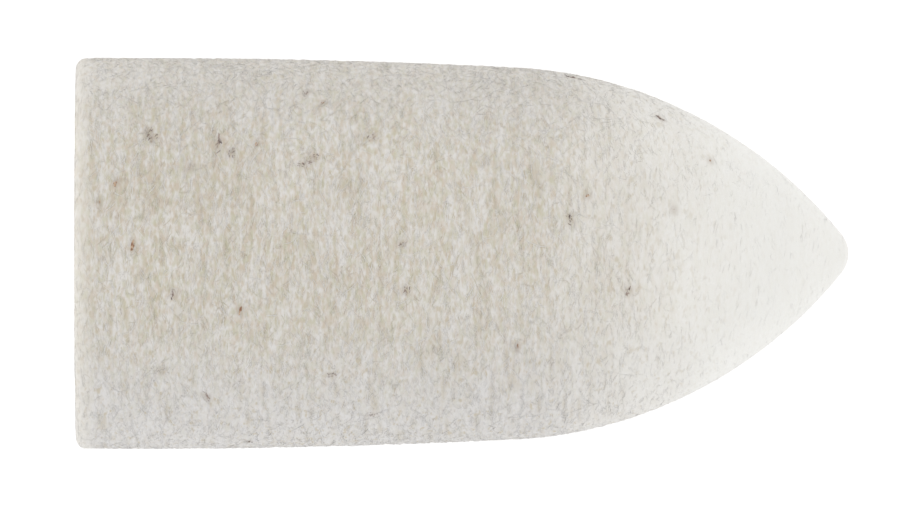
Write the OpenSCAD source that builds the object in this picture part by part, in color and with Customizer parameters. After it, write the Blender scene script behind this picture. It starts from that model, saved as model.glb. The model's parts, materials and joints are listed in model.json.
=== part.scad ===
// Pointed felt bob for polishing, pressed from wool felt.
// It lies with its axis along +X. The origin is the centre of the flat base,
// at the mouth of the pilot hole, and the blunt tip points along +X.
// "Distance" below always means the distance from the base along the axis.
// "Angle" is the angle round the axis: 0 is the top (+Z), 90 is +Y.

/* [Felt point] */
// Diameter of the parallel land at the base
base_d = 9.5; // [8:0.1:12]
// Length of the parallel land
land_len = 1.5; // [0.5:0.1:2.5]
// Distance at which the barrel ends and the pointed nose begins
body_len = 10.7; // [9:0.1:12]
// How much the radius narrows along the barrel
draft = 0.23; // [0.1:0.01:0.3]
// Length of the pointed nose
nose_len = 8.1; // [7:0.1:9]
// Radius of the blunt tip
tip_r = 0.75; // [0.5:0.05:1]
// Rounding of the rim round the base
rim_r = 0.25; // [0.1:0.05:0.4]

/* [Pilot hole] */
// Diameter of the hole that a mandrel's screw bites into
hole_d = 1.6; // [1:0.1:2.4]
// Depth of the parallel part of the hole
hole_depth = 8; // [5:0.5:8]
// Full angle of the cone that the drill leaves at the bottom
drill_angle = 118; // [90:2:140]

/* [Coarse hairs] */
// Thickness of a coarse hair
hair_t = 0.05; // [0.04:0.01:0.08]
// Number of coarse hairs scattered over the underside
hair_count = 14; // [1:1:20]

/* [Burr specks] */
// Thickness of a flake of burr
burr_t = 0.06; // [0.04:0.01:0.08]
// Number of flakes scattered over the underside
burr_count = 11; // [1:1:16]

/* [Hidden] */

overall_len = body_len + nose_len;
base_r = base_d / 2;
hole_r = hole_d / 2;

// Barrel: one long arc, tangent to the land, that drops the radius by draft
barrel_len = body_len - land_len;
barrel_r = (pow(barrel_len, 2) + pow(draft, 2)) / (2 * draft);
barrel_slope = asin(barrel_len / barrel_r);
shoulder_r = base_r - draft;

// Nose: one arc, tangent to the barrel where it starts and to the tip's ball
ball_x = overall_len - tip_r;
ball_run = ball_x - body_len;
nose_r = (pow(ball_run, 2) + pow(shoulder_r, 2) - pow(tip_r, 2))
    / (2 * (shoulder_r * cos(barrel_slope) - ball_run * sin(barrel_slope) - tip_r));
nose_x = body_len - nose_r * sin(barrel_slope);
nose_y = shoulder_r - nose_r * cos(barrel_slope);
// The tip's ball starts here, to the nearest micrometre, so that both arcs end on one plane
tip_x = round(1000 * (ball_x + tip_r * (ball_x - nose_x) / (nose_r - tip_r))) / 1000;

// Every piece of foreign matter stands this far above the felt
proud = 0.01;

// Coarse hairs on the upper side: [distance, angle, turn from the axis, length, bend]
hair_spots = [
    [1.8, 38, 65, 0.25, 30],
    [1.9, 36, 50, 0.2, 20],
    [2.4, -12, 80, 0.15, 20],
    [3.2, -47, 110, 0.3, 30],
    [3.5, 34, 85, 0.45, 25],
    [3.8, 31, 80, 0.2, 20],
    [4.2, -75, 10, 0.1, 10],
    [5.5, 27, 10, 0.15, 20],
    [5.7, 28, 20, 0.12, 10],
    [5.8, 30, 15, 0.12, 10],
    [5.6, 56, 70, 0.1, 10],
    [6.2, -39, 5, 0.14, 10],
    [7.2, 37, 60, 0.15, 20],
    [7.2, -57, 80, 0.1, 10],
    [7.9, 3, 20, 0.1, 10],
    [8, -11, 100, 0.18, 30],
    [12.1, 79, 160, 0.35, 40],
    [12, 11, 120, 0.2, 60],
    [13.4, -13, 70, 0.18, 30],
    [14.2, 61, 150, 0.25, 70]
];

// Burr flakes on the upper side: [distance, angle, turn from the axis, length, width]
burr_spots = [
    [0.6, 15, 80, 0.15, 0.08],
    [1, 21, 60, 0.25, 0.16],
    [1.4, 2, 75, 0.35, 0.12],
    [2.1, -37, 85, 0.14, 0.08],
    [2.8, 26, 80, 0.25, 0.07],
    [4, -17, 80, 0.25, 0.07],
    [4.4, 34, 70, 0.15, 0.1],
    [6, 51, 30, 0.12, 0.08],
    [10.7, -30, 85, 0.25, 0.07],
    [12.4, 19, 60, 0.14, 0.1],
    [14.5, 17, 90, 0.1, 0.08],
    [15.4, 45, 80, 0.1, 0.07]
];

// The rest lie on the underside, spread by the golden angle
golden = 137.5;
under_from = 105;
under_span = 150;
function spread(i, step) = i * step - floor(i * step);
function under_angle(i, phase) = under_from + under_span * spread(i + phase, golden / 360);
function under_x(i, count) = 1 + (overall_len - 5) * (i + 0.5) / count;

hair_scatter = [
    for (i = [0:hair_count - 1])
        [under_x(i, hair_count), under_angle(i, 0.3), 40 + 100 * spread(i, 0.37),
            0.12 + 0.3 * spread(i, 0.61), 50 * spread(i, 0.23)]
];
burr_scatter = [
    for (i = [0:burr_count - 1])
        [under_x(i + 0.35, burr_count + 1), under_angle(i, 4.6), 60 + 50 * spread(i, 0.43),
            0.12 + 0.16 * spread(i, 0.71), 0.07 + 0.05 * spread(i, 0.29)]
];

// Radius and slope of the felt's surface at a distance from the base
function surface_r(x) =
    x < land_len ? base_r
    : x < body_len ? base_r - barrel_r + sqrt(pow(barrel_r, 2) - pow(x - land_len, 2))
    : nose_y + sqrt(pow(nose_r, 2) - pow(x - nose_x, 2));
function surface_slope(x) =
    x < land_len ? 0
    : x < body_len ? asin((x - land_len) / barrel_r)
    : asin((x - nose_x) / nose_r);

// Half of the felt's outline: radius along X, distance along Y
module outline() {
    // Land, with its rounded rim
    square([base_r - rim_r, land_len]);
    translate([0, rim_r])
        square([base_r, land_len - rim_r]);
    translate([base_r - rim_r, rim_r])
        circle(rim_r, $fn = 48);
    // Barrel
    intersection() {
        translate([0, land_len])
            square([base_r, barrel_len]);
        translate([base_r - barrel_r, land_len])
            circle(barrel_r, $fn = 1440);
    }
    // Nose
    intersection() {
        translate([0, body_len])
            square([base_r, tip_x - body_len]);
        translate([nose_y, nose_x])
            circle(nose_r, $fn = 360);
    }
    // Tip
    intersection() {
        translate([0, tip_x])
            square([tip_r, overall_len - tip_x]);
        translate([0, ball_x])
            circle(tip_r, $fn = 96);
    }
}

// Puts its child on the felt's surface, with X along the piece and Z outwards
module on_surface(x, angle, turn) {
    rotate([-angle, 0, 0])
        translate([x, 0, surface_r(x)])
            rotate([0, surface_slope(x), 0])
                rotate([0, 0, turn])
                    children();
}

// A bent hair seen from above, thinner at both ends
module hair(length, bend) {
    steps = 4;
    function along(t) = length * (t - 0.5);
    function across(t) = length * tan(bend / 4) * (1 - pow(2 * t - 1, 2)) / 2;
    function half_w(t) = hair_t / 2 * (1 - 0.6 * pow(2 * t - 1, 2));
    near = [for (i = [0:steps]) let (t = i / steps) [along(t), across(t) - half_w(t)]];
    far = [for (i = [steps:-1:0]) let (t = i / steps) [along(t), across(t) + half_w(t)]];
    translate([0, 0, proud - hair_t])
        linear_extrude(hair_t)
            polygon(concat(near, far));
}

// A flake of burr seen from above, with uneven corners
module flake(length, width) {
    corners = 6;
    translate([0, 0, proud - burr_t])
        linear_extrude(burr_t)
            polygon([
                for (i = [0:corners - 1])
                    let (reach = 1 - 0.3 * spread(i, 0.62), turn = 360 * i / corners)
                        [length / 2 * reach * cos(turn), width / 2 * reach * sin(turn)]
            ]);
}

module all_hairs() {
    for (spot = concat(hair_spots, hair_scatter))
        on_surface(spot[0], spot[1], spot[2])
            hair(spot[3], spot[4]);
}

module all_flakes() {
    for (spot = concat(burr_spots, burr_scatter))
        on_surface(spot[0], spot[1], spot[2])
            flake(spot[3], spot[4]);
}

// Blind hole up the axis from the base, with the drill's cone at its end
module pilot_hole() {
    cone_len = hole_r / tan(drill_angle / 2);
    rotate([0, 90, 0]) {
        translate([0, 0, -1])
            cylinder(h = hole_depth + 1, r = hole_r, $fn = 64);
        translate([0, 0, hole_depth])
            cylinder(h = cone_len, r1 = hole_r, r2 = 0, $fn = 64);
    }
}

// The pressed wool, with the hole and a seat for each hair and flake
module felt_body() {
    color("ivory")
        difference() {
            rotate([0, 90, 0])
                rotate_extrude($fn = 144)
                    outline();
            pilot_hole();
            all_hairs();
            all_flakes();
        }
}

// Coarse dark animal hairs caught in the wool
module kemp_hairs() {
    color("dimgray")
        all_hairs();
}

// Flakes of plant burr that came with the fleece
module burr_specks() {
    color("sienna")
        all_flakes();
}

felt_body();
kemp_hairs();
burr_specks();
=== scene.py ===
"""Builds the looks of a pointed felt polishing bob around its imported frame.

The bob lies on its side with its axis along +X. Its skin is spun from one outline and
given the relief of pressed wool, and a nap of real fibres is laid over it. The coarse
hairs and the burr flakes sit where the frame's own solids are.
"""

import json
import logging
import math
from dataclasses import dataclass, field
from enum import Enum

import bpy
import numpy as np
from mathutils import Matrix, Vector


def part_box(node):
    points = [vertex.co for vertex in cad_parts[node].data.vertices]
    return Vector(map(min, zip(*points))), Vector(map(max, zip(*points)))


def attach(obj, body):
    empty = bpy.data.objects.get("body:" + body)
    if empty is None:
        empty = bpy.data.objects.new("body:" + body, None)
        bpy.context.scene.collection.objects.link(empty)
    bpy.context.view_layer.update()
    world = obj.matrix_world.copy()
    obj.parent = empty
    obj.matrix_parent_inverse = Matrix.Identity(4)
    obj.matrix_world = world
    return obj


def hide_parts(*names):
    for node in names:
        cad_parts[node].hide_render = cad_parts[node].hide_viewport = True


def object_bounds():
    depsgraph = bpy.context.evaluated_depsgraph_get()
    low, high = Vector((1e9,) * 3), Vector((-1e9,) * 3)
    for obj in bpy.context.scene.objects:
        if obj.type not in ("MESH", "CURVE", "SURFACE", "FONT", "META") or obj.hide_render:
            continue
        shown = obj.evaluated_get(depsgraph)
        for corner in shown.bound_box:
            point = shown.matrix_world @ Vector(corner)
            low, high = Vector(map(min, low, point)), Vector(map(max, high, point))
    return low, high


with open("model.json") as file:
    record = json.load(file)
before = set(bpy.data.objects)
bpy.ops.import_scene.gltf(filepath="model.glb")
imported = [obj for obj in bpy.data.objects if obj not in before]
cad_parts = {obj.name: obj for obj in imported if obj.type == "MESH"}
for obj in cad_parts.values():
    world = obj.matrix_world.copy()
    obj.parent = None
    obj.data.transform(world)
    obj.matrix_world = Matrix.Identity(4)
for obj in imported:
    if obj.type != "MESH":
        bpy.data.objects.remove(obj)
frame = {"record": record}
CAD_BOX = [list(corner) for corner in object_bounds()]

log = logging.getLogger("felt_bob")

MM = 0.001


# ---------------------------------------------------------------- small helpers


def deselect_all() -> None:
    """Leaves object mode with nothing selected."""
    if bpy.context.object and bpy.context.object.mode != "OBJECT":
        bpy.ops.object.mode_set(mode="OBJECT")
    bpy.ops.object.select_all(action="DESELECT")


def pick(thing: bpy.types.Object) -> None:
    """Makes one object the only selected one, and the active one.

    Args:
        thing: The object to select.
    """
    deselect_all()
    thing.select_set(True)
    bpy.context.view_layer.objects.active = thing


def points_of(mesh: bpy.types.Mesh) -> np.ndarray:
    """Reads a mesh's vertices.

    Args:
        mesh: The mesh to read.

    Returns:
        One row of x, y and z for each vertex.
    """
    found = np.empty(len(mesh.vertices) * 3)
    mesh.vertices.foreach_get("co", found)
    return found.reshape(-1, 3)


def move_points(mesh: bpy.types.Mesh, places: np.ndarray) -> None:
    """Writes a mesh's vertices back.

    Args:
        mesh: The mesh to change.
        places: One row for each vertex.
    """
    mesh.vertices.foreach_set("co", places.ravel())
    mesh.update()


def write_attribute(mesh: bpy.types.Mesh, name: str, values: np.ndarray) -> None:
    """Stores one number for each vertex, for a material to read.

    Args:
        mesh: The mesh that gets the attribute.
        name: The attribute's name.
        values: One number for each vertex.
    """
    made = mesh.attributes.new(name=name, type="FLOAT", domain="POINT")
    made.data.foreach_set("value", values.astype(np.float32))


def smoothstep(low: float, high: float, value: np.ndarray) -> np.ndarray:
    """Rises smoothly from 0 at low to 1 at high.

    Args:
        low: Where the rise begins.
        high: Where it ends.
        value: What is looked up.

    Returns:
        Numbers from 0 to 1.
    """
    share = np.clip((value - low) / (high - low), 0.0, 1.0)
    return share * share * (3.0 - 2.0 * share)


# ---------------------------------------------------------------- wool relief


class Grain:
    """Smooth gradient noise on a lattice, the same on every run."""

    CELLS = 256

    def __init__(self, seed: int) -> None:
        """Shuffles the lattice.

        Args:
            seed: Picks the pattern.
        """
        draw = np.random.default_rng(seed)
        self.order = np.tile(draw.permutation(self.CELLS), 3)
        slopes = draw.normal(size=(self.CELLS, 3))
        self.slopes = slopes / np.linalg.norm(slopes, axis=1, keepdims=True)

    def __call__(self, places: np.ndarray) -> np.ndarray:
        """Looks the noise up.

        Args:
            places: Rows of three coordinates, in cells.

        Returns:
            A number for each row, mostly between -1 and 1.
        """
        cell = np.floor(places).astype(int)
        within = places - cell
        fade = within**3 * (within * (within * 6.0 - 15.0) + 10.0)
        cell %= self.CELLS
        total = np.zeros(len(places))
        for corner in np.ndindex(2, 2, 2):
            at = cell + np.array(corner)
            pick_x = self.order[at[:, 0]]
            pick_y = self.order[pick_x + at[:, 1]]
            slope = self.slopes[self.order[pick_y + at[:, 2]]]
            weight = np.prod(np.where(corner, fade, 1.0 - fade), axis=1)
            total += weight * np.einsum("ij,ij->i", slope, within - np.array(corner))
        return total * 1.6


@dataclass
class Relief:
    """How far the felt's surface stands above or below its outline."""

    tuft: tuple[float, float] = (0.115 * MM, 0.95 * MM)
    strand: tuple[float, float] = (0.06 * MM, 0.60 * MM)
    lump: tuple[float, float] = (1.2 * MM, 3.0 * MM)
    lean: float = math.radians(2)
    tuft_height: float = 0.010 * MM
    strand_height: float = 0.005 * MM
    lump_height: float = 0.004 * MM
    pit_depth: float = 0.014 * MM
    smooth_from: float = 11.5 * MM
    smooth_to: float = 16.6 * MM
    tip_share: float = 0.22
    cut_from: float = 0.55 * MM
    cut_share: float = 0.35
    face_share: float = 0.4
    seed: int = 11
    grains: list[Grain] = field(init=False)

    def __post_init__(self) -> None:
        """Makes one noise for each kind of relief."""
        self.grains = [Grain(self.seed + i) for i in range(4)]

    def streaked(self, places: np.ndarray, size: tuple[float, float]) -> np.ndarray:
        """Scales places so that noise comes out long across the axis.

        Args:
            places: Points on the felt.
            size: The width and the length of a streak.

        Returns:
            The points in cells of that size.
        """
        turned = places.copy()
        turned[:, 0] = math.cos(self.lean) * places[:, 0] - math.sin(self.lean) * places[:, 1]
        turned[:, 1] = math.sin(self.lean) * places[:, 0] + math.cos(self.lean) * places[:, 1]
        return turned / np.array([size[0], size[1], size[1]])

    def strength(self, places: np.ndarray) -> np.ndarray:
        """How strong the relief is: the ground tip and the cut base are smoother than the barrel.

        Args:
            places: Points on the felt.

        Returns:
            A share for each point.
        """
        ground = smoothstep(self.smooth_from, self.smooth_to, places[:, 0])
        cut = 1.0 - smoothstep(0.0, self.cut_from, places[:, 0])
        cut *= self.face_share + (1.0 - self.face_share) * smoothstep(0.0, 0.08 * MM, places[:, 0])
        return 1.0 - (1.0 - self.tip_share) * ground - (1.0 - self.cut_share) * cut

    def pits(self, places: np.ndarray) -> np.ndarray:
        """Where small hollows lie between the locks of wool.

        Args:
            places: Points on the felt.

        Returns:
            0 on the plain surface, up to 1 at the bottom of a hollow.
        """
        seen = self.grains[0](self.streaked(places, self.tuft))
        fine = self.grains[3](self.streaked(places, self.strand) * 0.8)
        return smoothstep(0.12, 0.85, -seen - 0.35 * fine) * self.strength(places)

    def height(self, places: np.ndarray) -> np.ndarray:
        """The offset along the normal.

        Args:
            places: Points on the felt's outline.

        Returns:
            Metres, outwards.
        """
        strength = self.strength(places)
        tufts = self.grains[0](self.streaked(places, self.tuft)) * self.tuft_height
        strands = self.grains[1](self.streaked(places, self.strand)) * self.strand_height
        lumps = self.grains[2](self.streaked(places, self.lump)) * self.lump_height
        hollows = self.pits(places) * self.pit_depth
        return strength * (tufts + strands) + lumps - hollows


# ---------------------------------------------------------------- the outline


class Zone(Enum):
    """The stretches of the outline, from the bottom of the hole to the tip."""

    CONE = "drilled end of the hole"
    WALL = "wall of the hole"
    MOUTH = "rounded mouth of the hole"
    BASE = "flat base"
    RIM = "rounded rim"
    LAND = "parallel land"
    BARREL = "barrel"
    NOSE = "nose"
    TIP = "blunt tip"


@dataclass(frozen=True)
class Stretch:
    """One straight or round stretch of the outline.

    A heading is 0 along the axis towards the tip and 90 degrees straight outwards.
    A round stretch turns clockwise, so the felt lies on its right.
    """

    zone: Zone
    heading: float
    length: float
    radius: float = math.inf

    def after(self, run: np.ndarray) -> tuple[np.ndarray, np.ndarray, np.ndarray]:
        """Follows the stretch.

        Args:
            run: Distances along it.

        Returns:
            The steps along the axis and outwards, and the headings there.
        """
        if math.isinf(self.radius):
            return (
                run * math.cos(self.heading),
                run * math.sin(self.heading),
                np.full_like(run, self.heading),
            )
        now = self.heading - run / self.radius
        along = (math.sin(self.heading) - np.sin(now)) * self.radius
        outwards = (np.cos(now) - math.cos(self.heading)) * self.radius
        return along, outwards, now


@dataclass
class Spots:
    """Places on the skin, each with its own directions."""

    place: np.ndarray
    normal: np.ndarray
    along: np.ndarray
    around: np.ndarray


@dataclass
class Outline:
    """The bob's outline, worked out from the frame and a few sizes of its own."""

    land: float = 1.5 * MM
    body: float = 10.7 * MM
    draft: float = 0.23 * MM
    tip: float = 0.75 * MM
    rim: float = 0.25 * MM
    mouth: float = 0.12 * MM
    drill_angle: float = math.radians(118)
    stretches: list[Stretch] = field(init=False)

    def __post_init__(self) -> None:
        """Reads the overall sizes and the hole from the frame, and lays the outline."""
        low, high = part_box("felt_body")
        self.length = high[0] - low[0]
        self.base = (high[1] - low[1]) / 2
        hole = next(m for m in frame["record"]["mounts"] if m["name"] == "pilot_hole")
        self.hole = hole["dims"]["r_mm"] * MM
        self.hole_depth = hole["dims"]["length_mm"] * MM
        self.stretches = [*self.inside(), *self.outside()]
        self.lay()

    def inside(self) -> list[Stretch]:
        """The hole, from the point of the drilled cone to the mouth.

        Returns:
            The stretches in order.
        """
        half = self.drill_angle / 2
        return [
            Stretch(Zone.CONE, math.pi - half, self.hole / math.sin(half)),
            Stretch(Zone.WALL, math.pi, self.hole_depth - self.mouth),
            Stretch(Zone.MOUTH, math.pi, self.mouth * math.pi / 2, self.mouth),
        ]

    def outside(self) -> list[Stretch]:
        """The felt's outer skin, from the mouth of the hole to the tip.

        Returns:
            The stretches in order.
        """
        run = self.body - self.land
        barrel = (run**2 + self.draft**2) / (2 * self.draft)
        slope = math.asin(run / barrel)
        shoulder = self.base - self.draft
        ball = self.length - self.tip - self.body
        spare = shoulder * math.cos(slope) - ball * math.sin(slope) - self.tip
        nose = (ball**2 + shoulder**2 - self.tip**2) / (2 * spare)
        turn = math.acos((ball + nose * math.sin(slope)) / (nose - self.tip))
        steep = math.pi / 2 - turn
        flat = self.base - self.rim - self.hole - self.mouth
        return [
            Stretch(Zone.BASE, math.pi / 2, flat),
            Stretch(Zone.RIM, math.pi / 2, self.rim * math.pi / 2, self.rim),
            Stretch(Zone.LAND, 0.0, self.land - self.rim),
            Stretch(Zone.BARREL, 0.0, barrel * slope, barrel),
            Stretch(Zone.NOSE, -slope, nose * (steep - slope), nose),
            Stretch(Zone.TIP, -steep, self.tip * (math.pi / 2 - steep), self.tip),
        ]

    def lay(self) -> None:
        """Strings the stretches end to end."""
        half = self.drill_angle / 2
        x = self.hole_depth + self.hole / math.tan(half)
        r = 0.0
        self.starts = []
        reach = 0.0
        for stretch in self.stretches:
            self.starts.append((reach, x, r))
            along, outwards, _ = stretch.after(np.array([stretch.length]))
            x += along[0]
            r += outwards[0]
            reach += stretch.length
        self.reach = reach
        self.end = (x, r)

    def span(self, zone: Zone) -> tuple[float, float]:
        """Where a zone begins and ends along the outline.

        Args:
            zone: The stretch asked for.

        Returns:
            Two distances along the outline.
        """
        for (start, _, _), stretch in zip(self.starts, self.stretches):
            if stretch.zone is zone:
                return start, start + stretch.length
        raise ValueError(zone)

    def trace(self, run: np.ndarray) -> tuple[np.ndarray, np.ndarray, np.ndarray]:
        """Follows the whole outline.

        Args:
            run: Distances along it from the bottom of the hole.

        Returns:
            Distance from the base, radius and heading at each.
        """
        x, r, heading = (np.zeros_like(run) for _ in range(3))
        for (start, from_x, from_r), stretch in zip(self.starts, self.stretches):
            here = run >= start
            along, outwards, now = stretch.after(run[here] - start)
            x[here] = from_x + along
            r[here] = from_r + outwards
            heading[here] = now
        return x, np.maximum(r, 0.0), heading

    def spots(self, run: np.ndarray, angle: np.ndarray) -> Spots:
        """Finds places on the skin.

        Args:
            run: Distances along the outline.
            angle: Angles round the axis, from the top towards +Y.

        Returns:
            The places, with their directions.
        """
        x, r, heading = self.trace(run)
        zero = np.zeros_like(angle)
        out = np.stack([zero, np.sin(angle), np.cos(angle)], axis=-1)
        around = np.stack([zero, np.cos(angle), -np.sin(angle)], axis=-1)
        axis = np.array([1.0, 0.0, 0.0])
        along = np.cos(heading)[..., None] * axis + np.sin(heading)[..., None] * out
        normal = -np.sin(heading)[..., None] * axis + np.cos(heading)[..., None] * out
        place = x[..., None] * axis + r[..., None] * out
        return Spots(place, normal, along, around)

    def scatter(
        self, draw: np.random.Generator, count: int, low: float, high: float
    ) -> tuple[np.ndarray, np.ndarray]:
        """Spreads places evenly over a band of the skin.

        Args:
            draw: The source of chance.
            count: How many places.
            low: Where the band begins along the outline.
            high: Where it ends.

        Returns:
            Their distances along the outline and their angles.
        """
        steps = np.linspace(low, high, 800)
        _, r, _ = self.trace(steps)
        share = np.concatenate([[0.0], np.cumsum((r[1:] + r[:-1]) / 2)])
        run = np.interp(draw.random(count) * share[-1], share, steps)
        return run, draw.random(count) * 2 * math.pi

    def find(self, places: np.ndarray) -> tuple[np.ndarray, np.ndarray]:
        """Finds the places on the outer skin that are next to given points.

        Args:
            places: Points close to the skin.

        Returns:
            Their distances along the outline and their angles.
        """
        start, _ = self.span(Zone.LAND)
        steps = np.linspace(start, self.reach, 4000)
        x, _, _ = self.trace(steps)
        return np.interp(places[:, 0], x, steps), np.arctan2(places[:, 1], places[:, 2])


# ---------------------------------------------------------------- finishes


@dataclass(frozen=True)
class Tint:
    """A colour in linear light."""

    red: float
    green: float
    blue: float

    def rgba(self) -> tuple[float, float, float, float]:
        """The colour with full alpha."""
        return (self.red, self.green, self.blue, 1.0)


class NodeKit:
    """Short ways to add and join nodes in one tree."""

    def __init__(self, tree: bpy.types.NodeTree) -> None:
        """Keeps the tree.

        Args:
            tree: The material's or the group's tree.
        """
        self.tree = tree

    def add(self, kind: str, **settings: object) -> bpy.types.Node:
        """Adds a node.

        Args:
            kind: The node's type.
            settings: Properties to set on it.

        Returns:
            The node.
        """
        node = self.tree.nodes.new(kind)
        for name, value in settings.items():
            setattr(node, name, value)
        return node

    def join(self, source: bpy.types.NodeSocket, target: bpy.types.NodeSocket) -> None:
        """Links an output to an input."""
        self.tree.links.new(source, target)

    def noise(
        self, vector: bpy.types.NodeSocket, scale: float, detail: float = 2.0
    ) -> bpy.types.NodeSocket:
        """Adds a noise texture.

        Args:
            vector: The coordinates.
            scale: Cells to the metre.
            detail: Octaves.

        Returns:
            The noise value's socket.
        """
        node = self.add("ShaderNodeTexNoise")
        node.inputs["Scale"].default_value = scale
        node.inputs["Detail"].default_value = detail
        self.join(vector, node.inputs["Vector"])
        return node.outputs["Fac"]

    def stretched(
        self, vector: bpy.types.NodeSocket, scale: tuple[float, float, float]
    ) -> bpy.types.NodeSocket:
        """Scales coordinates, so that a pattern comes out long one way.

        Args:
            vector: The coordinates.
            scale: The factor for each axis.

        Returns:
            The new coordinates' socket.
        """
        node = self.add("ShaderNodeMapping")
        node.inputs["Scale"].default_value = scale
        self.join(vector, node.inputs["Vector"])
        return node.outputs["Vector"]

    def span(
        self,
        value: bpy.types.NodeSocket,
        low: float,
        high: float,
        start: float = 0.0,
        end: float = 1.0,
    ) -> bpy.types.NodeSocket:
        """Maps a value smoothly from one range to another.

        Args:
            value: The value's socket.
            low: Where the first range begins.
            high: Where it ends.
            start: What low becomes.
            end: What high becomes.

        Returns:
            The result's socket.
        """
        node = self.add("ShaderNodeMapRange", interpolation_type="SMOOTHSTEP")
        node.inputs["From Min"].default_value = low
        node.inputs["From Max"].default_value = high
        node.inputs["To Min"].default_value = start
        node.inputs["To Max"].default_value = end
        self.join(value, node.inputs["Value"])
        return node.outputs["Result"]

    def math(
        self, operation: str, first: object, second: object = 0.0, third: object = 0.0
    ) -> bpy.types.NodeSocket:
        """Adds a sum of values, each a socket or a number.

        Args:
            operation: What is done.
            first: The first value.
            second: The second value.
            third: The third value, where the sum takes three.

        Returns:
            The result's socket.
        """
        node = self.add("ShaderNodeMath", operation=operation)
        for socket, value in zip(node.inputs, (first, second, third)):
            if isinstance(value, bpy.types.NodeSocket):
                self.join(value, socket)
            else:
                socket.default_value = value
        return node.outputs[0]

    def mix(
        self, share: object, first: object, second: object, how: str = "MIX"
    ) -> bpy.types.NodeSocket:
        """Mixes two colours.

        Args:
            share: How much of the second, a socket or a number.
            first: The first colour, a socket or a Tint.
            second: The second colour, a socket or a Tint.
            how: The blend mode.

        Returns:
            The mixed colour's socket.
        """
        node = self.add("ShaderNodeMix", data_type="RGBA", blend_type=how)
        sockets = (node.inputs[0], node.inputs[6], node.inputs[7])
        for socket, value in zip(sockets, (share, first, second)):
            if isinstance(value, bpy.types.NodeSocket):
                self.join(value, socket)
            elif isinstance(value, Tint):
                socket.default_value = value.rgba()
            else:
                socket.default_value = value
        return node.outputs[2]

    def attribute(self, name: str) -> bpy.types.NodeSocket:
        """Reads a number that is stored on the mesh's points."""
        return self.add("ShaderNodeAttribute", attribute_name=name).outputs["Fac"]

    def bump(self, height: bpy.types.NodeSocket, distance: float) -> bpy.types.NodeSocket:
        """Turns a height into a normal.

        Args:
            height: The height's socket.
            distance: How far the full height stands up, in metres.

        Returns:
            The normal's socket.
        """
        node = self.add("ShaderNodeBump")
        node.inputs["Distance"].default_value = distance
        self.join(height, node.inputs["Height"])
        return node.outputs["Normal"]


def new_finish(
    name: str, even: dict[str, object]
) -> tuple[bpy.types.Material, NodeKit, bpy.types.Node]:
    """Starts a material whose shader has its even values set.

    Args:
        name: The material's name.
        even: The shader's sockets that hold one value all over.

    Returns:
        The material, a kit for its tree, and its shader.
    """
    made = bpy.data.materials.new(name)
    made.use_nodes = True
    shader = made.node_tree.nodes["Principled BSDF"]
    for socket, value in even.items():
        shader.inputs[socket].default_value = value
    return made, NodeKit(made.node_tree), shader


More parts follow.
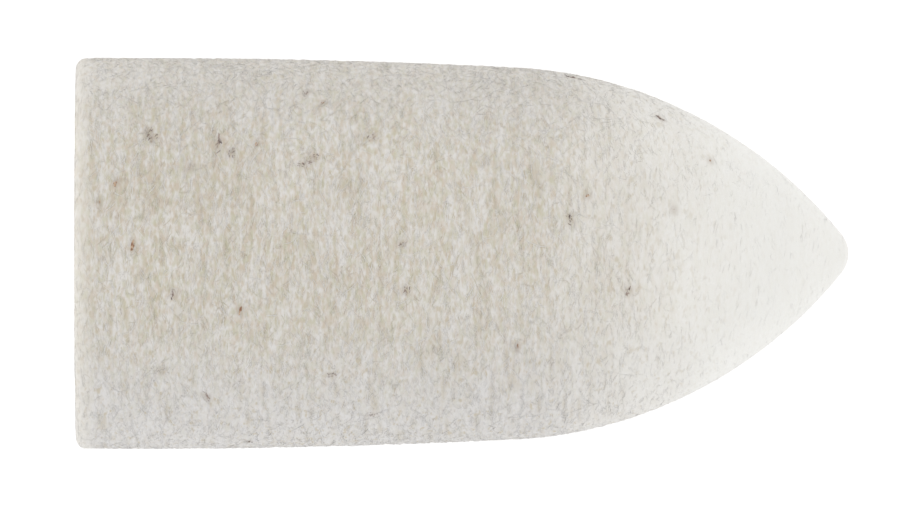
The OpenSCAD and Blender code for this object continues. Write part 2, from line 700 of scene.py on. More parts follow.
@dataclass(frozen=True)
class WoolTones:
    """The colours of the undyed wool, and where they change along the bob, with painted light and
    shade on its sides along Y and at the base rim.
    """

    clean: Tint = Tint(0.780, 0.760, 0.738)
    tan: Tint = Tint(0.613, 0.586, 0.466)
    rust: Tint = Tint(0.650, 0.574, 0.484)
    warm: Tint = Tint(0.835, 0.80, 0.755)
    ground: Tint = Tint(0.893, 0.892, 0.870)
    # Lighter, warmer band at the base rim: partly cleaner cut wool, partly a painted highlight of
    # the rim.
    cut: Tint = Tint(0.85, 0.82, 0.765)
    stain: Tint = Tint(0.40, 0.33, 0.27)
    # Painted cool light: multiplied over the -Y side, making it cooler and a little darker.
    cool: Tint = Tint(0.967, 0.974, 0.996)
    tan_share: float = 0.45
    # Painted light: towards -Y the wool is paler, with less tan.
    painted_light_side_tan: float = 0.3
    painted_light_side_band: tuple[float, float] = (-4.6 * MM, -0.6 * MM)
    pale_end: float = 0.86
    end_band: tuple[float, float] = (5.0 * MM, 12.0 * MM)
    painted_cool_light_band: tuple[float, float] = (-4.2 * MM, -1.0 * MM)
    # Towards +Y the wool has less tan and fewer dark specks, and a painted shade darkens it a
    # little.
    grey_side: float = 0.6
    plus_y_painted_shade: float = 0.95
    grey_smooth: float = 0.5
    grey_band: tuple[float, float] = (2.6 * MM, 4.3 * MM)
    wander: float = 2.0 * MM
    warm_share: float = 0.4
    warm_from: float = 11.0 * MM
    warm_to: float = 13.8 * MM
    ground_from: float = 10.6 * MM
    ground_to: float = 17.2 * MM
    ground_share: float = 0.82
    cut_width: float = 0.60 * MM
    cut_share: float = 0.65
    face_depth: float = 0.03 * MM
    face_share: float = 0.2
    patch: float = 700.0
    patch_share: float = 0.52
    streak: float = 5000.0
    streak_share: float = 1.5
    tone_share: float = 0.9
    hue: float = 8000.0
    hue_edges: tuple[float, float] = (0.38, 0.62)
    cloud: float = 420.0
    cloud_share: float = 0.11

    def group(self) -> bpy.types.NodeTree:
        """Builds the node group that gives the wool's colour at each point.

        Returns:
            The group: takes Object coordinates, a tone and a stain, gives Color and Ground.
        """
        tree = bpy.data.node_groups.new("wool_tone", "ShaderNodeTree")
        for name, way, kind in (
            ("Vector", "INPUT", "Vector"),
            ("Tone", "INPUT", "Float"),
            ("Stain", "INPUT", "Float"),
            ("Color", "OUTPUT", "Color"),
            ("Ground", "OUTPUT", "Float"),
        ):
            tree.interface.new_socket(name, in_out=way, socket_type=f"NodeSocket{kind}")
        kit = NodeKit(tree)
        entry = kit.add("NodeGroupInput")
        leave = kit.add("NodeGroupOutput")
        place = entry.outputs["Vector"]

        split = kit.add("ShaderNodeSeparateXYZ")
        kit.join(place, split.inputs[0])
        x, y = split.outputs["X"], split.outputs["Y"]

        patches = kit.noise(kit.stretched(place, (1.0, 0.4, 0.4)), self.patch, 3.0)
        streaks = kit.noise(kit.stretched(place, (1.0, 0.16, 0.16)), self.streak)
        even = self.tan_share + (self.tone_share + self.streak_share + self.patch_share) / 2
        tan = kit.math("MULTIPLY_ADD", entry.outputs["Tone"], -self.tone_share, even)
        tan = kit.math("MULTIPLY_ADD", streaks, -self.streak_share, tan)
        tan = kit.math("MAXIMUM", kit.math("MULTIPLY_ADD", patches, -self.patch_share, tan), 0.0)
        # Painted light: less tan towards the -Y side.
        tan = kit.math("MULTIPLY", tan, kit.span(y, *self.painted_light_side_band, self.painted_light_side_tan, 1.0))
        tan = kit.math("MULTIPLY", tan, kit.span(x, *self.end_band, 1.0, self.pale_end))
        # Band towards +Y: less tan, fewer dark specks, and a painted shade.
        plus_y_band = kit.span(y, *self.grey_band)
        less = kit.math("MULTIPLY_ADD", plus_y_band, self.grey_side - 1.0, 1.0)
        tan = kit.math("MULTIPLY", tan, less)

        uneven = kit.math("MULTIPLY", kit.math("SUBTRACT", patches, 0.5), self.wander)
        along = kit.math("ADD", x, uneven)
        worn = kit.span(along, self.warm_from, self.warm_to, 0.0, self.warm_share)
        ground = kit.span(along, self.ground_from, self.ground_to)
        # Base rim band: partly cleaner cut wool, partly a painted highlight.
        rim_pale_and_highlight = kit.span(x, 0.0, self.cut_width, self.cut_share, 0.0)
        off_face = kit.span(x, 0.0, self.face_depth, self.face_share, 1.0)

        hues = kit.noise(kit.stretched(place, (1.0, 0.5, 0.5)), self.hue)
        dull = kit.mix(kit.span(hues, *self.hue_edges), self.tan, self.rust)
        wool = kit.mix(kit.math("MINIMUM", tan, 1.0), self.clean, dull)
        # Painted cool light over the -Y side.
        wool = kit.mix(kit.span(y, *self.painted_cool_light_band, 1.0, 0.0), wool, self.cool, "MULTIPLY")
        wool = kit.mix(kit.math("MULTIPLY", rim_pale_and_highlight, off_face), wool, self.cut)
        wool = kit.mix(worn, wool, self.warm)
        wool = kit.mix(kit.math("MULTIPLY", ground, self.ground_share), wool, self.ground)

        clouds = kit.noise(kit.stretched(place, (1.0, 0.6, 0.6)), self.cloud)
        shade = kit.math("MULTIPLY_ADD", clouds, self.cloud_share, 1.0 - self.cloud_share / 2)
        # Painted shade: the +Y side is darkened a little.
        plus_y_shade_factor = kit.math("MULTIPLY_ADD", plus_y_band, self.plus_y_painted_shade - 1.0, 1.0)
        tint = kit.add("ShaderNodeVectorMath", operation="SCALE")
        kit.join(kit.mix(entry.outputs["Stain"], wool, self.stain), tint.inputs[0])
        kit.join(kit.math("MULTIPLY", shade, plus_y_shade_factor), tint.inputs["Scale"])
        kit.join(tint.outputs[0], leave.inputs["Color"])
        smooth = kit.math("MAXIMUM", ground, rim_pale_and_highlight)
        smooth = kit.math("MAXIMUM", smooth, kit.math("MULTIPLY", plus_y_band, self.grey_smooth))
        kit.join(smooth, leave.inputs["Ground"])
        return tree


@dataclass(frozen=True)
class FeltFinish:
    """Pressed wool: the packed fibres under the nap, with painted shade in its hollows."""

    # Painted shade: the darker, warmer colour laid into the hollows; the random specks use it too.
    hollow: Tint = Tint(0.57, 0.505, 0.39)
    roughness: float = 0.95
    specular: float = 0.15
    sheen: float = 0.6
    sheen_roughness: float = 0.12
    fibre: float = 13000.0
    fibre_edges: tuple[float, float] = (0.34, 0.70)
    speck: float = 9000.0
    speck_edges: tuple[float, float] = (0.56, 0.74)
    recess_shade_share: float = 0.5
    speck_share: float = 0.7
    ground_keeps: float = -0.92
    bump: float = 0.008 * MM

    def make(self, tones: bpy.types.NodeTree) -> bpy.types.Material:
        """Builds the material.

        Args:
            tones: The wool_tone group.

        Returns:
            The material.
        """
        even = {
            "Roughness": self.roughness,
            "Sheen Weight": self.sheen,
            "Sheen Roughness": self.sheen_roughness,
            "Specular IOR Level": self.specular,
        }
        made, kit, shader = new_finish("pressed_wool", even)
        place = kit.add("ShaderNodeTexCoord").outputs["Object"]
        wool = kit.add("ShaderNodeGroup", node_tree=tones)
        kit.join(place, wool.inputs["Vector"])
        fine = kit.noise(kit.stretched(place, (1.0, 0.4, 0.4)), self.fibre, 3.0)
        kit.join(kit.span(fine, *self.fibre_edges), wool.inputs["Tone"])
        kit.join(kit.attribute("stain"), wool.inputs["Stain"])
        speck = kit.noise(kit.stretched(place, (1.0, 0.45, 0.45)), self.speck, 1.0)
        speck = kit.math("MULTIPLY", kit.span(speck, *self.speck_edges), self.speck_share)
        # Painted shade in the hollows, and random specks of the same colour.
        recess_shade_and_specks = kit.math("MULTIPLY", kit.attribute("hollow"), self.recess_shade_share)
        recess_shade_and_specks = kit.math("MAXIMUM", recess_shade_and_specks, speck)
        keep = kit.math("MULTIPLY_ADD", wool.outputs["Ground"], self.ground_keeps, 1.0)
        colour = kit.mix(kit.math("MULTIPLY", recess_shade_and_specks, keep), wool.outputs["Color"], self.hollow)
        kit.join(colour, shader.inputs["Base Color"])
        kit.join(kit.bump(fine, self.bump), shader.inputs["Normal"])
        return made


@dataclass(frozen=True)
class FibreFinish:
    """Single wool fibres, each with its own tone."""

    roughness: float = 0.8
    specular: float = 0.2
    sheen: float = 0.6
    sheen_roughness: float = 0.12

    def make(self, tones: bpy.types.NodeTree) -> bpy.types.Material:
        """Builds the material.

        Args:
            tones: The wool_tone group.

        Returns:
            The material.
        """
        even = {
            "Roughness": self.roughness,
            "Sheen Weight": self.sheen,
            "Sheen Roughness": self.sheen_roughness,
            "Specular IOR Level": self.specular,
        }
        made, kit, shader = new_finish("wool_fibre", even)
        place = kit.add("ShaderNodeTexCoord").outputs["Object"]
        wool = kit.add("ShaderNodeGroup", node_tree=tones)
        kit.join(place, wool.inputs["Vector"])
        kit.join(kit.attribute("tone"), wool.inputs["Tone"])
        kit.join(kit.attribute("stain"), wool.inputs["Stain"])
        kit.join(wool.outputs["Color"], shader.inputs["Base Color"])
        return made


@dataclass(frozen=True)
class ForeignFinish:
    """A hair or a flake that isn't wool: dark, with lighter and darker parts."""

    name: str
    dark: Tint
    light: Tint
    roughness: float
    scale: float
    edges: tuple[float, float] = (0.35, 0.65)
    bump: float = 0.004 * MM

    def make(self) -> bpy.types.Material:
        """Builds the material.

        Returns:
            The material.
        """
        made, kit, shader = new_finish(self.name, {"Roughness": self.roughness})
        place = kit.add("ShaderNodeTexCoord").outputs["Object"]
        speckle = kit.span(kit.noise(place, self.scale, 3.0), *self.edges)
        kit.join(kit.mix(speckle, self.dark, self.light), shader.inputs["Base Color"])
        rough = kit.noise(place, 3 * self.scale)
        kit.join(kit.bump(rough, self.bump), shader.inputs["Normal"])
        return made


# ---------------------------------------------------------------- pieces


@dataclass(frozen=True)
class Solid:
    """One of the frame's small solids: where it is and how it lies."""

    middle: np.ndarray
    direction: np.ndarray
    length: float
    width: float


def solids_of(node: str) -> list[Solid]:
    """Reads the separate solids of a CAD node.

    Args:
        node: The node's name.

    Returns:
        Each solid's middle, long direction, length and width.
    """
    source = bpy.data.objects[node]
    copy = source.copy()
    copy.data = source.data.copy()
    bpy.context.scene.collection.objects.link(copy)
    copy.hide_set(False)
    pick(copy)
    bpy.ops.object.mode_set(mode="EDIT")
    bpy.ops.mesh.select_all(action="SELECT")
    bpy.ops.mesh.remove_doubles(threshold=2e-6)
    bpy.ops.mesh.separate(type="LOOSE")
    bpy.ops.object.mode_set(mode="OBJECT")
    found = []
    for part in list(bpy.context.selected_objects):
        places = points_of(part.data)
        middle = places.mean(axis=0)
        _, _, axes = np.linalg.svd(places - middle)
        spans = np.ptp((places - middle) @ axes.T, axis=0)
        found.append(Solid(middle, axes[0], float(spans[0]), float(spans[1])))
        bpy.data.objects.remove(part)
    log.info("%s: %d solids in the frame", node, len(found))
    return sorted(found, key=lambda solid: tuple(solid.middle))


class Stains:
    """Where the wool is darkened by the hairs and the flakes that lie in it."""

    def __init__(
        self, solids: list[Solid], reach: float = 0.10 * MM, strength: float = 0.45
    ) -> None:
        """Keeps the places.

        Args:
            solids: The frame's hairs and flakes.
            reach: How far a stain spreads.
            strength: How dark it is in the middle.
        """
        self.middles = np.array([solid.middle for solid in solids])
        self.ahead = np.array([solid.direction for solid in solids])
        self.stretch = np.array([solid.length for solid in solids]) / 2
        self.reach = reach
        self.strength = strength

    def __call__(self, places: np.ndarray) -> np.ndarray:
        """Looks the stains up.

        Args:
            places: Points on the felt.

        Returns:
            How stained each one is, from 0 up.
        """
        total = np.zeros(len(places))
        for middle, ahead, stretch in zip(self.middles, self.ahead, self.stretch):
            offset = places - middle
            near = np.flatnonzero(np.abs(offset).max(axis=1) < 4 * self.reach + stretch)
            along = offset[near] @ ahead
            past = np.maximum(np.abs(along) - 0.5 * stretch, 0.0)
            across = np.maximum((offset[near] ** 2).sum(axis=1) - along**2, 0.0)
            total[near] += np.exp(-(past**2 + across) / self.reach**2)
        return self.strength * np.minimum(total, 1.0)


@dataclass
class Skin:
    """The felt itself, spun from its outline, with the pilot hole up its axis."""

    outline: Outline
    relief: Relief
    stains: Stains
    spacing: float = 0.09 * MM
    hole_spacing: float = 0.3 * MM
    turns: int = 320

    def stations(self) -> np.ndarray:
        """Where the outline's points go.

        Returns:
            Distances along the outline, closer together outside the hole.
        """
        runs = [np.zeros(1)]
        for (start, _, _), stretch in zip(self.outline.starts, self.outline.stretches):
            inner = stretch.zone in (Zone.CONE, Zone.WALL)
            step = self.hole_spacing if inner else self.spacing
            pieces = max(3, math.ceil(stretch.length / step))
            runs.append(start + np.linspace(0, stretch.length, pieces + 1)[1:])
        return np.concatenate(runs)

    def build(self) -> bpy.types.Object:
        """Spins the outline and gives the felt its relief.

        Returns:
            The finished piece.
        """
        run = self.stations()
        x, r, _ = self.outline.trace(run)
        r[0] = r[-1] = 0.0
        deselect_all()
        bpy.ops.mesh.primitive_circle_add(vertices=len(run), radius=self.outline.base)
        felt = bpy.context.object
        felt.name = felt.data.name = "felt_skin"
        move_points(felt.data, np.stack([x, np.zeros_like(x), r], axis=1))
        bpy.ops.object.mode_set(mode="EDIT")
        bpy.ops.mesh.select_all(action="DESELECT")
        bpy.ops.object.mode_set(mode="OBJECT")
        for edge in felt.data.edges:
            edge.select = set(edge.vertices) == {0, len(run) - 1}
        bpy.ops.object.mode_set(mode="EDIT")
        bpy.ops.mesh.select_mode(type="EDGE")
        bpy.ops.mesh.delete(type="EDGE")
        bpy.ops.mesh.select_all(action="SELECT")
        bpy.ops.mesh.spin(steps=self.turns, angle=2 * math.pi, center=(0, 0, 0), axis=(1, 0, 0))
        bpy.ops.mesh.select_all(action="SELECT")
        bpy.ops.mesh.remove_doubles(threshold=1e-7)
        bpy.ops.mesh.normals_make_consistent(inside=False)
        bpy.ops.object.mode_set(mode="OBJECT")
        bpy.ops.object.shade_smooth()
        self.press(felt)
        return felt

    def press(self, felt: bpy.types.Object) -> None:
        """Moves the skin in and out by the relief, and stores where the hollows are, for the
        painted shade there.

        Args:
            felt: The spun skin.
        """
        places = points_of(felt.data)
        normals = np.empty(len(places) * 3, dtype=np.float32)
        felt.data.vertex_normals.foreach_get("vector", normals)
        normals = normals.reshape(-1, 3)
        out = np.hypot(places[:, 1], places[:, 2])
        inner = (out < 1.02 * self.outline.hole) & (places[:, 0] < 0.6 * self.outline.length)
        share = np.where(inner, 0.6, 1.0)
        height = self.relief.height(places) * share
        # How deep each hollow is, for the painted shade there.
        write_attribute(felt.data, "hollow", self.relief.pits(places))
        write_attribute(felt.data, "stain", self.stains(places))
        move_points(felt.data, places + normals * height[:, None])


class FibreShape:
    """One fibre, modelled once: a thin spindle with a point at both ends."""

    def __init__(self, sides: int = 3, cuts: int = 3) -> None:
        """Models the fibre and reads its points and faces.

        Args:
            sides: Sides of its cross-section.
            cuts: Rings between its two points.
        """
        deselect_all()
        bpy.ops.mesh.primitive_cylinder_add(
            vertices=sides, radius=1.0, depth=1.0, end_fill_type="NOTHING"
        )
        fibre = bpy.context.object
        bpy.ops.object.mode_set(mode="EDIT")
        bpy.ops.mesh.select_all(action="DESELECT")
        bpy.ops.object.mode_set(mode="OBJECT")
        for edge in fibre.data.edges:
            low, high = (fibre.data.vertices[i].co.z for i in edge.vertices)
            edge.select = abs(high - low) > 0.5
        bpy.ops.object.mode_set(mode="EDIT")
        bpy.ops.mesh.select_mode(type="EDGE")
        bpy.ops.mesh.subdivide(number_cuts=cuts)
        for end in (-0.5, 0.5):
            self.gather(fibre, end)
        bpy.ops.mesh.select_all(action="SELECT")
        bpy.ops.mesh.quads_convert_to_tris()
        bpy.ops.mesh.normals_make_consistent(inside=False)
        bpy.ops.object.mode_set(mode="OBJECT")
        shape = points_of(fibre.data)
        self.side, self.lift = shape[:, 0], shape[:, 1]
        self.shares, self.station = np.unique(np.round(shape[:, 2] + 0.5, 4), return_inverse=True)
        self.faces = np.array([tuple(p.vertices) for p in fibre.data.polygons])
        bpy.data.objects.remove(fibre)

    @staticmethod
    def gather(fibre: bpy.types.Object, end: float) -> None:
        """Draws one end of the fibre to a point.

        Args:
            fibre: The fibre, in edit mode.
            end: The end's place along the fibre.
        """
        bpy.ops.mesh.select_mode(type="VERT")
        bpy.ops.mesh.select_all(action="DESELECT")
        bpy.ops.object.mode_set(mode="OBJECT")
        for vertex in fibre.data.vertices:
            vertex.select = abs(vertex.co.z - end) < 1e-4
        bpy.ops.object.mode_set(mode="EDIT")
        bpy.ops.mesh.merge(type="CENTER")


@dataclass
class Lay:
    """How a set of fibres lies: one number for each fibre in every field."""

    run: np.ndarray
    angle: np.ndarray
    heading: np.ndarray
    length: np.ndarray
    width: np.ndarray
    bow: np.ndarray
    wave: np.ndarray
    phase: np.ndarray
    weave: np.ndarray
    rise: np.ndarray
    round: np.ndarray
    tone: np.ndarray


class FibreBed:
    """Lays copies of one fibre over the skin, as one piece."""

    WAVE_LENGTH = 0.5 * MM
    CROWN = 0.95

    def __init__(self, shape: FibreShape, outline: Outline, relief: Relief, stains: Stains) -> None:
        """Keeps what every layer shares.

        Args:
            shape: The fibre that is copied.
            outline: The bob's outline.
            relief: The relief that the fibres follow.
            stains: Where the wool is stained.
        """
        self.shape = shape
        self.outline = outline
        self.relief = relief
        self.stains = stains

    def walk(self, lay: Lay) -> tuple[np.ndarray, np.ndarray, np.ndarray]:
        """Walks along each fibre over the skin, from its middle to both ends.

        Args:
            lay: How the fibres lie.

        Returns:
            Distances along the outline, angles and headings, one column for each station.
        """
        shares = self.shape.shares - 0.5
        waves = lay.length / self.WAVE_LENGTH
        turn = 2 * math.pi * (waves[:, None] * shares + lay.phase[:, None])
        heading = lay.heading[:, None] + lay.bow[:, None] * shares
        heading = heading + lay.wave[:, None] * np.sin(turn)
        run = np.repeat(lay.run[:, None], len(shares), axis=1)
        angle = np.repeat(lay.angle[:, None], len(shares), axis=1)
        inner, _ = self.outline.span(Zone.WALL)
        middle = int(np.argmin(np.abs(shares)))
        for way in (1, -1):
            for station in range(middle + way, len(shares) if way > 0 else -1, way):
                last = station - way
                step = lay.length * (shares[station] - shares[last])
                steer = (heading[:, station] + heading[:, last]) / 2
                _, r, _ = self.outline.trace(run[:, last])
                run[:, station] = run[:, last] + np.cos(steer) * step
                angle[:, station] = angle[:, last] + np.sin(steer) * step / np.maximum(r, 0.15 * MM)
        return np.clip(run, inner, self.outline.reach - 0.02 * MM), angle, heading

    def build(self, name: str, lay: Lay) -> bpy.types.Object:
        """Makes the piece.

        Args:
            name: The piece's name.
            lay: How the fibres lie.

        Returns:
            The piece, with each fibre's tone and stain stored on its points.
        """
        shape = self.shape
        run, angle, heading = self.walk(lay)
        spots = self.outline.spots(run, angle)
        count, stations = run.shape
        relief = self.relief.height(spots.place.reshape(-1, 3)).reshape(count, stations)
        shares = shape.shares[None, :]
        waves = lay.length[:, None] / self.WAVE_LENGTH * shares
        turn = 2 * math.pi * (waves + 3 * lay.phase[:, None])
        ends = (2 * shares - 1) ** 6
        height = relief + lay.rise[:, None] + lay.weave[:, None] * (np.sin(turn) - 1.5 * ends)
        centre = spots.place + spots.normal * height[..., None]
        aside = np.cos(heading)[..., None] * spots.around - np.sin(heading)[..., None] * spots.along
        at = shape.station
        half = lay.width[:, None] / 2 * (1.0 - 0.3 * (2 * shape.shares[at][None, :] - 1) ** 2)
        places = (
            centre[:, at]
            + spots.normal[:, at] * (shape.lift * half * lay.round[:, None])[..., None]
            + aside[:, at] * (shape.side * half)[..., None]
        )
        radial = spots.normal[:, at] * shape.lift[:, None] + aside[:, at] * shape.side[:, None]
        facing = spots.normal[:, at] + self.CROWN * radial
        facing /= np.linalg.norm(facing, axis=-1, keepdims=True)
        corners = len(at)
        faces = shape.faces[None, :, :] + (np.arange(count) * corners)[:, None, None]
        mesh = bpy.data.meshes.new(name)
        mesh.vertices.add(count * corners)
        mesh.vertices.foreach_set("co", places.ravel())
        mesh.loops.add(faces.size)
        mesh.loops.foreach_set("vertex_index", faces.ravel().astype(np.int32))
        mesh.polygons.add(faces.size // 3)
        mesh.polygons.foreach_set("loop_start", np.arange(0, faces.size, 3, dtype=np.int32))
        mesh.update(calc_edges=True)
        mesh.shade_smooth()
        mesh.normals_split_custom_set_from_vertices(facing.reshape(-1, 3))
        write_attribute(mesh, "tone", np.repeat(lay.tone, corners))
        write_attribute(mesh, "stain", self.stains(places.reshape(-1, 3)))
        piece = bpy.data.objects.new(name, mesh)
        bpy.context.scene.collection.objects.link(piece)
        return piece


@dataclass
class Nap:
    """The fibres that cover the felt, lying mostly round the axis."""

    outline: Outline
    bed: FibreBed
    per_piece: int = 8200
    pieces: int = 8
    heading: float = math.radians(88)
    spread: float = math.radians(20)
    length: tuple[float, float] = (0.20 * MM, 0.75 * MM)
    width: tuple[float, float] = (0.011 * MM, 0.021 * MM)
    weave: float = 0.007 * MM
    swirl: float = 0.35 * MM
    proud_share: float = 0.06
    even_side: float = 0.7
    tone_even: float = 0.60
    tone_lock: float = 0.45
    tone_strand: float = 0.75
    tone_own: float = 0.40
    tone_proud: float = 0.6
    calm_side: float = 0.6
    seed: int = 401

    def lay(self, draw: np.random.Generator, run: np.ndarray, angle: np.ndarray) -> Lay:
        """Chooses how each fibre lies.

        Args:
            draw: The source of chance.
            run: Where the fibres lie along the outline.
            angle: Where they lie round the axis.

        Returns:
            The choices.
        """
        count = len(run)
        spots = self.outline.spots(run, angle)
        relief = self.bed.relief
        swirl = Grain(self.seed)(spots.place / self.swirl)
        lock = relief.grains[0](relief.streaked(spots.place, relief.tuft))
        strand = relief.grains[1](relief.streaked(spots.place, relief.strand))
        strength = relief.strength(spots.place)
        calm = 1.0 - self.calm_side * np.clip(-np.sin(angle), 0.0, 1.0) ** 2
        heading = self.heading + self.spread * calm * (1.3 * swirl + draw.normal(size=count))
        loose = np.where(spots.normal[:, 0] < -0.8, 1.0, 0.06 * calm**2)
        heading = np.where(draw.random(count) < loose, draw.random(count) * math.pi, heading)
        proud = (draw.random(count) < self.proud_share * strength * calm) & (strength > 0.6)
        heading = np.where(proud, heading + 0.5 * draw.normal(size=count), heading)
        length = self.length[0] + (self.length[1] - self.length[0]) * draw.random(count) ** 1.5
        length *= 1.0 + 0.8 * np.sin(angle) ** 2
        width = self.width[0] + (self.width[1] - self.width[0]) * draw.random(count) ** 1.3
        flat = 0.1 + 0.9 * strength
        vary = 1.0 - self.even_side * np.clip(np.sin(angle), 0.0, 1.0)
        own = draw.normal(0.0, self.tone_own, count)
        tone = self.tone_lock * lock + self.tone_strand * strand + own
        tone = self.tone_even + vary * tone + self.tone_proud * proud
        return Lay(
            run=run,
            angle=angle,
            heading=heading,
            length=length * (0.6 + 0.4 * strength),
            width=width * (0.5 + 0.5 * strength),
            bow=draw.normal(size=count) * 0.6,
            wave=draw.normal(size=count) * 0.25,
            phase=draw.random(count),
            weave=self.weave * (0.6 + 0.8 * draw.random(count)) * flat,
            rise=self.weave * (0.5 * draw.normal(size=count) * flat + 0.8 * proud),
            round=0.4 * flat,
            tone=np.clip(tone, -0.3, 1.3),
        )

    def build(self) -> list[bpy.types.Object]:
        """Lays the nap over the outside of the felt, one band after another.

        Returns:
            The pieces.
        """
        start, _ = self.outline.span(Zone.BASE)
        steps = np.linspace(start, self.outline.reach, 2000)
        _, r, _ = self.outline.trace(steps)
        share = np.cumsum(r)
        cuts = np.interp(np.linspace(0, share[-1], self.pieces + 1), share, steps)
        made = []
        for number, (low, high) in enumerate(zip(cuts, cuts[1:])):
            draw = np.random.default_rng(self.seed + number)
            run, angle = self.outline.scatter(draw, self.per_piece, low, high)
            share = 0.1 + 0.9 * self.bed.relief.strength(self.outline.spots(run, angle).place)
            kept = draw.random(len(run)) < share
            run, angle = run[kept], angle[kept]
            made.append(self.bed.build(f"nap_{number + 1:02d}", self.lay(draw, run, angle)))
        return made


@dataclass
class KempHairs:
    """The coarse dark hairs: short stretches of each show between the pale fibres."""

    outline: Outline
    bed: FibreBed
    solids: list[Solid]
    strands: int = 14
    width: float = 0.014 * MM
    scatter: float = 0.04 * MM
    seed: int = 77

    def build(self) -> bpy.types.Object:
        """Lays the strands where the frame's hairs are.

        Returns:
            The piece.
        """
        middles = np.repeat([h.middle for h in self.solids], self.strands, axis=0)
        run, angle = self.outline.find(middles)
        spots = self.outline.spots(run, angle)
        count = len(run)
        draw = np.random.default_rng(self.seed)
        ahead = np.repeat([h.direction for h in self.solids], self.strands, axis=0)
        heading = np.arctan2(
            np.einsum("ij,ij->i", ahead, spots.around),
            np.einsum("ij,ij->i", ahead, spots.along),
        )
        length = np.repeat([h.length for h in self.solids], self.strands)
        slide = (draw.random(count) - 0.5) * length
        shift = draw.normal(size=(2, count)) * self.scatter
        _, r, _ = self.outline.trace(run)
        lay = Lay(
            run=run + shift[0] + np.cos(heading) * slide,
            angle=angle + (shift[1] + np.sin(heading) * slide) / r,
            heading=heading + draw.normal(size=count) * 0.35,
            length=length * (0.2 + 0.45 * draw.random(count)),
            width=self.width * (0.7 + 0.8 * draw.random(count)),
            bow=draw.normal(size=count) * 0.8,
            wave=np.zeros(count),
            phase=draw.random(count),
            weave=np.full(count, 0.004 * MM),
            rise=0.003 * MM * draw.normal(size=count),
            round=np.ones(count),
            tone=draw.random(count),
        )
        return self.bed.build("kemp_strands", lay)


@dataclass
class BurrFlakes:
    """The rusty flakes of burr: uneven chips pressed into the felt."""

    outline: Outline
    relief: Relief
    solids: list[Solid]
    thickness: float = 0.022 * MM
    sunk: float = 0.012 * MM
    seed: int = 23

    def build(self) -> bpy.types.Object:
        """Makes a chip for each of the frame's flakes and joins them.

        Returns:
            The piece.
        """
        run, angle = self.outline.find(np.array([f.middle for f in self.solids]))
        spots = self.outline.spots(run, angle)
        rough = Grain(self.seed)
        depths = np.random.default_rng(self.seed).random(len(self.solids)) * self.sunk
        parts = []
        for number, flake in enumerate(self.solids):
            deselect_all()
            bpy.ops.mesh.primitive_ico_sphere_add(subdivisions=3, radius=0.5)
            chip = bpy.context.object
            unit = points_of(chip.data)
            bump = 1.0 + 0.45 * rough(unit * 2.6 + 7.0 * number)
            shaped = unit * bump[:, None] * np.array([flake.length, flake.width, self.thickness])
            normal = spots.normal[number]
            ahead = flake.direction - normal * np.dot(flake.direction, normal)
            ahead /= np.linalg.norm(ahead)
            aside = np.cross(normal, ahead)
            turned = shaped @ np.stack([ahead, aside, normal])
            level = self.relief.height(spots.place[number : number + 1])[0] - depths[number]
            seat = spots.place[number] + normal * level
            move_points(chip.data, seat + turned)
            bpy.ops.object.shade_smooth()
            parts.append(chip)
        deselect_all()
        for part in parts:
            part.select_set(True)
        bpy.context.view_layer.objects.active = parts[0]
        bpy.ops.object.join()
        joined = bpy.context.object
        joined.name = joined.data.name = "burr_chips"
        return joined


# ---------------------------------------------------------------- the setting


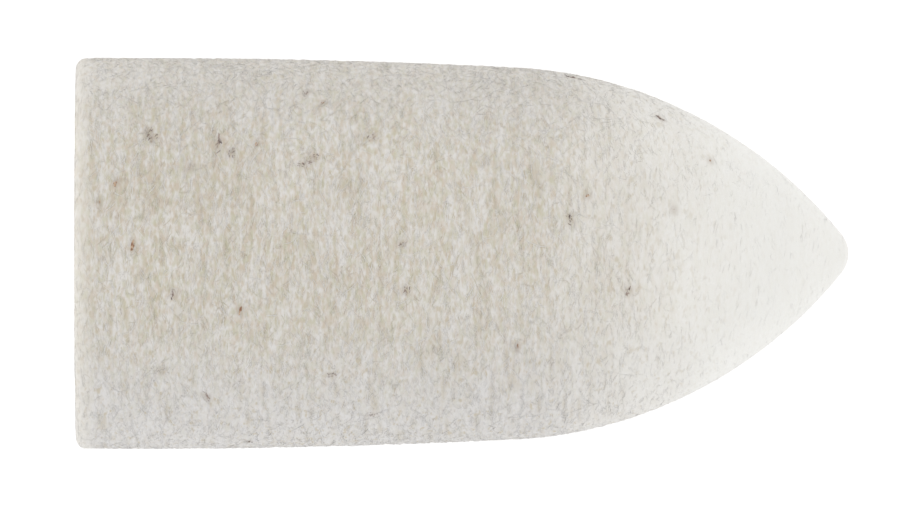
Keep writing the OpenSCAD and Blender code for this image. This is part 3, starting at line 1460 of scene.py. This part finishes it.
@dataclass
class LightTable:
    """The pale floor, the soft light and the camera straight above the bob."""

    outline: Outline
    floor_size: float = 4.0
    floor_glow: float = 0.63
    floor_gap: float = 0.02 * MM
    floor_tint: Tint = Tint(0.55, 0.55, 0.55)
    tent_sides: Tint = Tint(0.69, 0.70, 0.71)
    tent_top: Tint = Tint(0.915, 0.905, 0.88)
    tent_seen: Tint = Tint(1.0, 1.0, 1.0)
    picture_width: float = 21.91 * MM
    aim: tuple[float, float] = (9.10 * MM, -0.038 * MM)
    above: float = 5.0 * MM
    lens: float = 900.0
    sensor: float = 36.0

    def floor(self) -> bpy.types.Object:
        """Makes the floor, just under the bob.

        Returns:
            The floor.
        """
        deselect_all()
        level = CAD_BOX[0][2] - self.floor_gap
        bpy.ops.mesh.primitive_plane_add(size=self.floor_size, location=(0, 0, level))
        plane = bpy.context.object
        plane.name = "floor"
        even = {
            "Base Color": self.floor_tint.rgba(),
            "Roughness": 1.0,
            "Specular IOR Level": 0.0,
            "Emission Color": (1.0, 1.0, 1.0, 1.0),
            "Emission Strength": self.floor_glow,
        }
        paint, _, _ = new_finish("pale_floor", even)
        plane.data.materials.append(paint)
        return plane

    def softbox(
        self,
        name: str,
        place: tuple[float, float, float],
        size: float,
        power: float,
        colour: tuple[float, float, float] = (1.0, 1.0, 1.0),
    ) -> None:
        """Hangs a square lamp that faces the bob.

        Args:
            name: The lamp's name.
            place: Where it hangs, from the bob's middle.
            size: The length of its side.
            power: Its power in watts.
            colour: The colour of its light.
        """
        lamp = bpy.data.lights.new(name, "AREA")
        lamp.size = size
        lamp.energy = power
        lamp.color = colour
        holder = bpy.data.objects.new(name, lamp)
        middle = np.array([self.outline.length / 2, 0.0, 0.0])
        holder.location = middle + np.array(place)
        away = holder.location.copy()
        away.x -= middle[0]
        holder.rotation_euler = away.to_track_quat("Z", "Y").to_euler()
        bpy.context.scene.collection.objects.link(holder)

    def sky(self) -> None:
        """Makes the light tent: a little warmer overhead than round the sides."""
        world = bpy.data.worlds.new("light_tent")
        world.use_nodes = True
        kit = NodeKit(world.node_tree)
        back = world.node_tree.nodes["Background"]
        split = kit.add("ShaderNodeSeparateXYZ")
        kit.join(kit.add("ShaderNodeTexCoord").outputs["Generated"], split.inputs[0])
        upwards = kit.span(split.outputs["Z"], 0.0, 1.0)
        tent = kit.mix(upwards, self.tent_sides, self.tent_top)
        seen = kit.add("ShaderNodeLightPath").outputs["Is Camera Ray"]
        kit.join(kit.mix(seen, tent, self.tent_seen), back.inputs["Color"])
        bpy.context.scene.world = world

    def light(self) -> None:
        """Sets the even light all round and the softboxes."""
        self.sky()
        self.softbox("key_softbox", (-60 * MM, 90 * MM, 110 * MM), 70 * MM, 0.012)
        cool = (0.88, 0.94, 1.0)
        self.softbox("fill_softbox", (-20 * MM, -120 * MM, 50 * MM), 80 * MM, 0.005, cool)
        self.softbox("tip_softbox", (120 * MM, -10 * MM, 30 * MM), 60 * MM, 0.016)
        self.softbox("base_softbox", (-130 * MM, 0.0, 25 * MM), 60 * MM, 0.015)
        bpy.context.scene.view_settings.view_transform = "Standard"

    def camera(self) -> None:
        """Sets the camera above the base, tipped a little to take in the whole bob."""
        lens = bpy.data.cameras.new("camera")
        lens.lens = self.lens
        lens.sensor_width = self.sensor
        height = self.picture_width * self.lens / self.sensor
        lens.clip_start = height * 0.1
        lens.clip_end = height * 10
        holder = bpy.data.objects.new("camera", lens)
        holder.location = (self.above, self.aim[1], height)
        holder.rotation_euler = (0.0, -math.atan2(self.aim[0] - self.above, height), 0.0)
        bpy.context.scene.collection.objects.link(holder)
        bpy.context.scene.camera = holder


def dress(piece: bpy.types.Object, material: bpy.types.Material) -> None:
    """Gives a piece its material and ties it to the frame.

    Args:
        piece: The finished piece.
        material: Its material.
    """
    piece.data.materials.clear()
    piece.data.materials.append(material)
    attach(piece, "root")
    log.info("%s: %d faces", piece.name, len(piece.data.polygons))


def main() -> None:
    """Builds the setting and every piece in order."""
    logging.basicConfig(level=logging.INFO, format="%(name)s %(message)s")
    outline = Outline()
    table = LightTable(outline)
    table.camera()
    table.light()
    table.floor()
    log.info("outline ends at %.4f mm, radius %.5f mm", outline.end[0] / MM, outline.end[1] / MM)

    relief = Relief()
    tones = WoolTones().group()
    wool = FeltFinish().make(tones)
    fibre = FibreFinish().make(tones)
    hair_tints = (Tint(0.14, 0.10, 0.095), Tint(0.42, 0.33, 0.29))
    burr_tints = (Tint(0.30, 0.16, 0.10), Tint(0.60, 0.44, 0.31))
    dark_hair = ForeignFinish("kemp_hair", *hair_tints, roughness=0.7, scale=9000.0)
    rust = ForeignFinish("dry_burr", *burr_tints, roughness=0.85, scale=12000.0)

    hair_solids = solids_of("kemp_hairs")
    burr_solids = solids_of("burr_specks")
    stains = Stains(hair_solids + burr_solids)
    skin = Skin(outline, relief, stains).build()
    dress(skin, wool)
    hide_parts("felt_body")

    bed = FibreBed(FibreShape(sides=3, cuts=4), outline, relief, stains)
    for layer in Nap(outline, bed).build():
        dress(layer, fibre)
        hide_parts("felt_body")

    strand_bed = FibreBed(FibreShape(sides=5, cuts=5), outline, relief, stains)
    hairs = KempHairs(outline, strand_bed, hair_solids).build()
    dress(hairs, dark_hair.make())
    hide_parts("kemp_hairs")

    chips = BurrFlakes(outline, relief, burr_solids).build()
    dress(chips, rust.make())
    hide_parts("burr_specks")


if __name__ == "__main__":
    main()
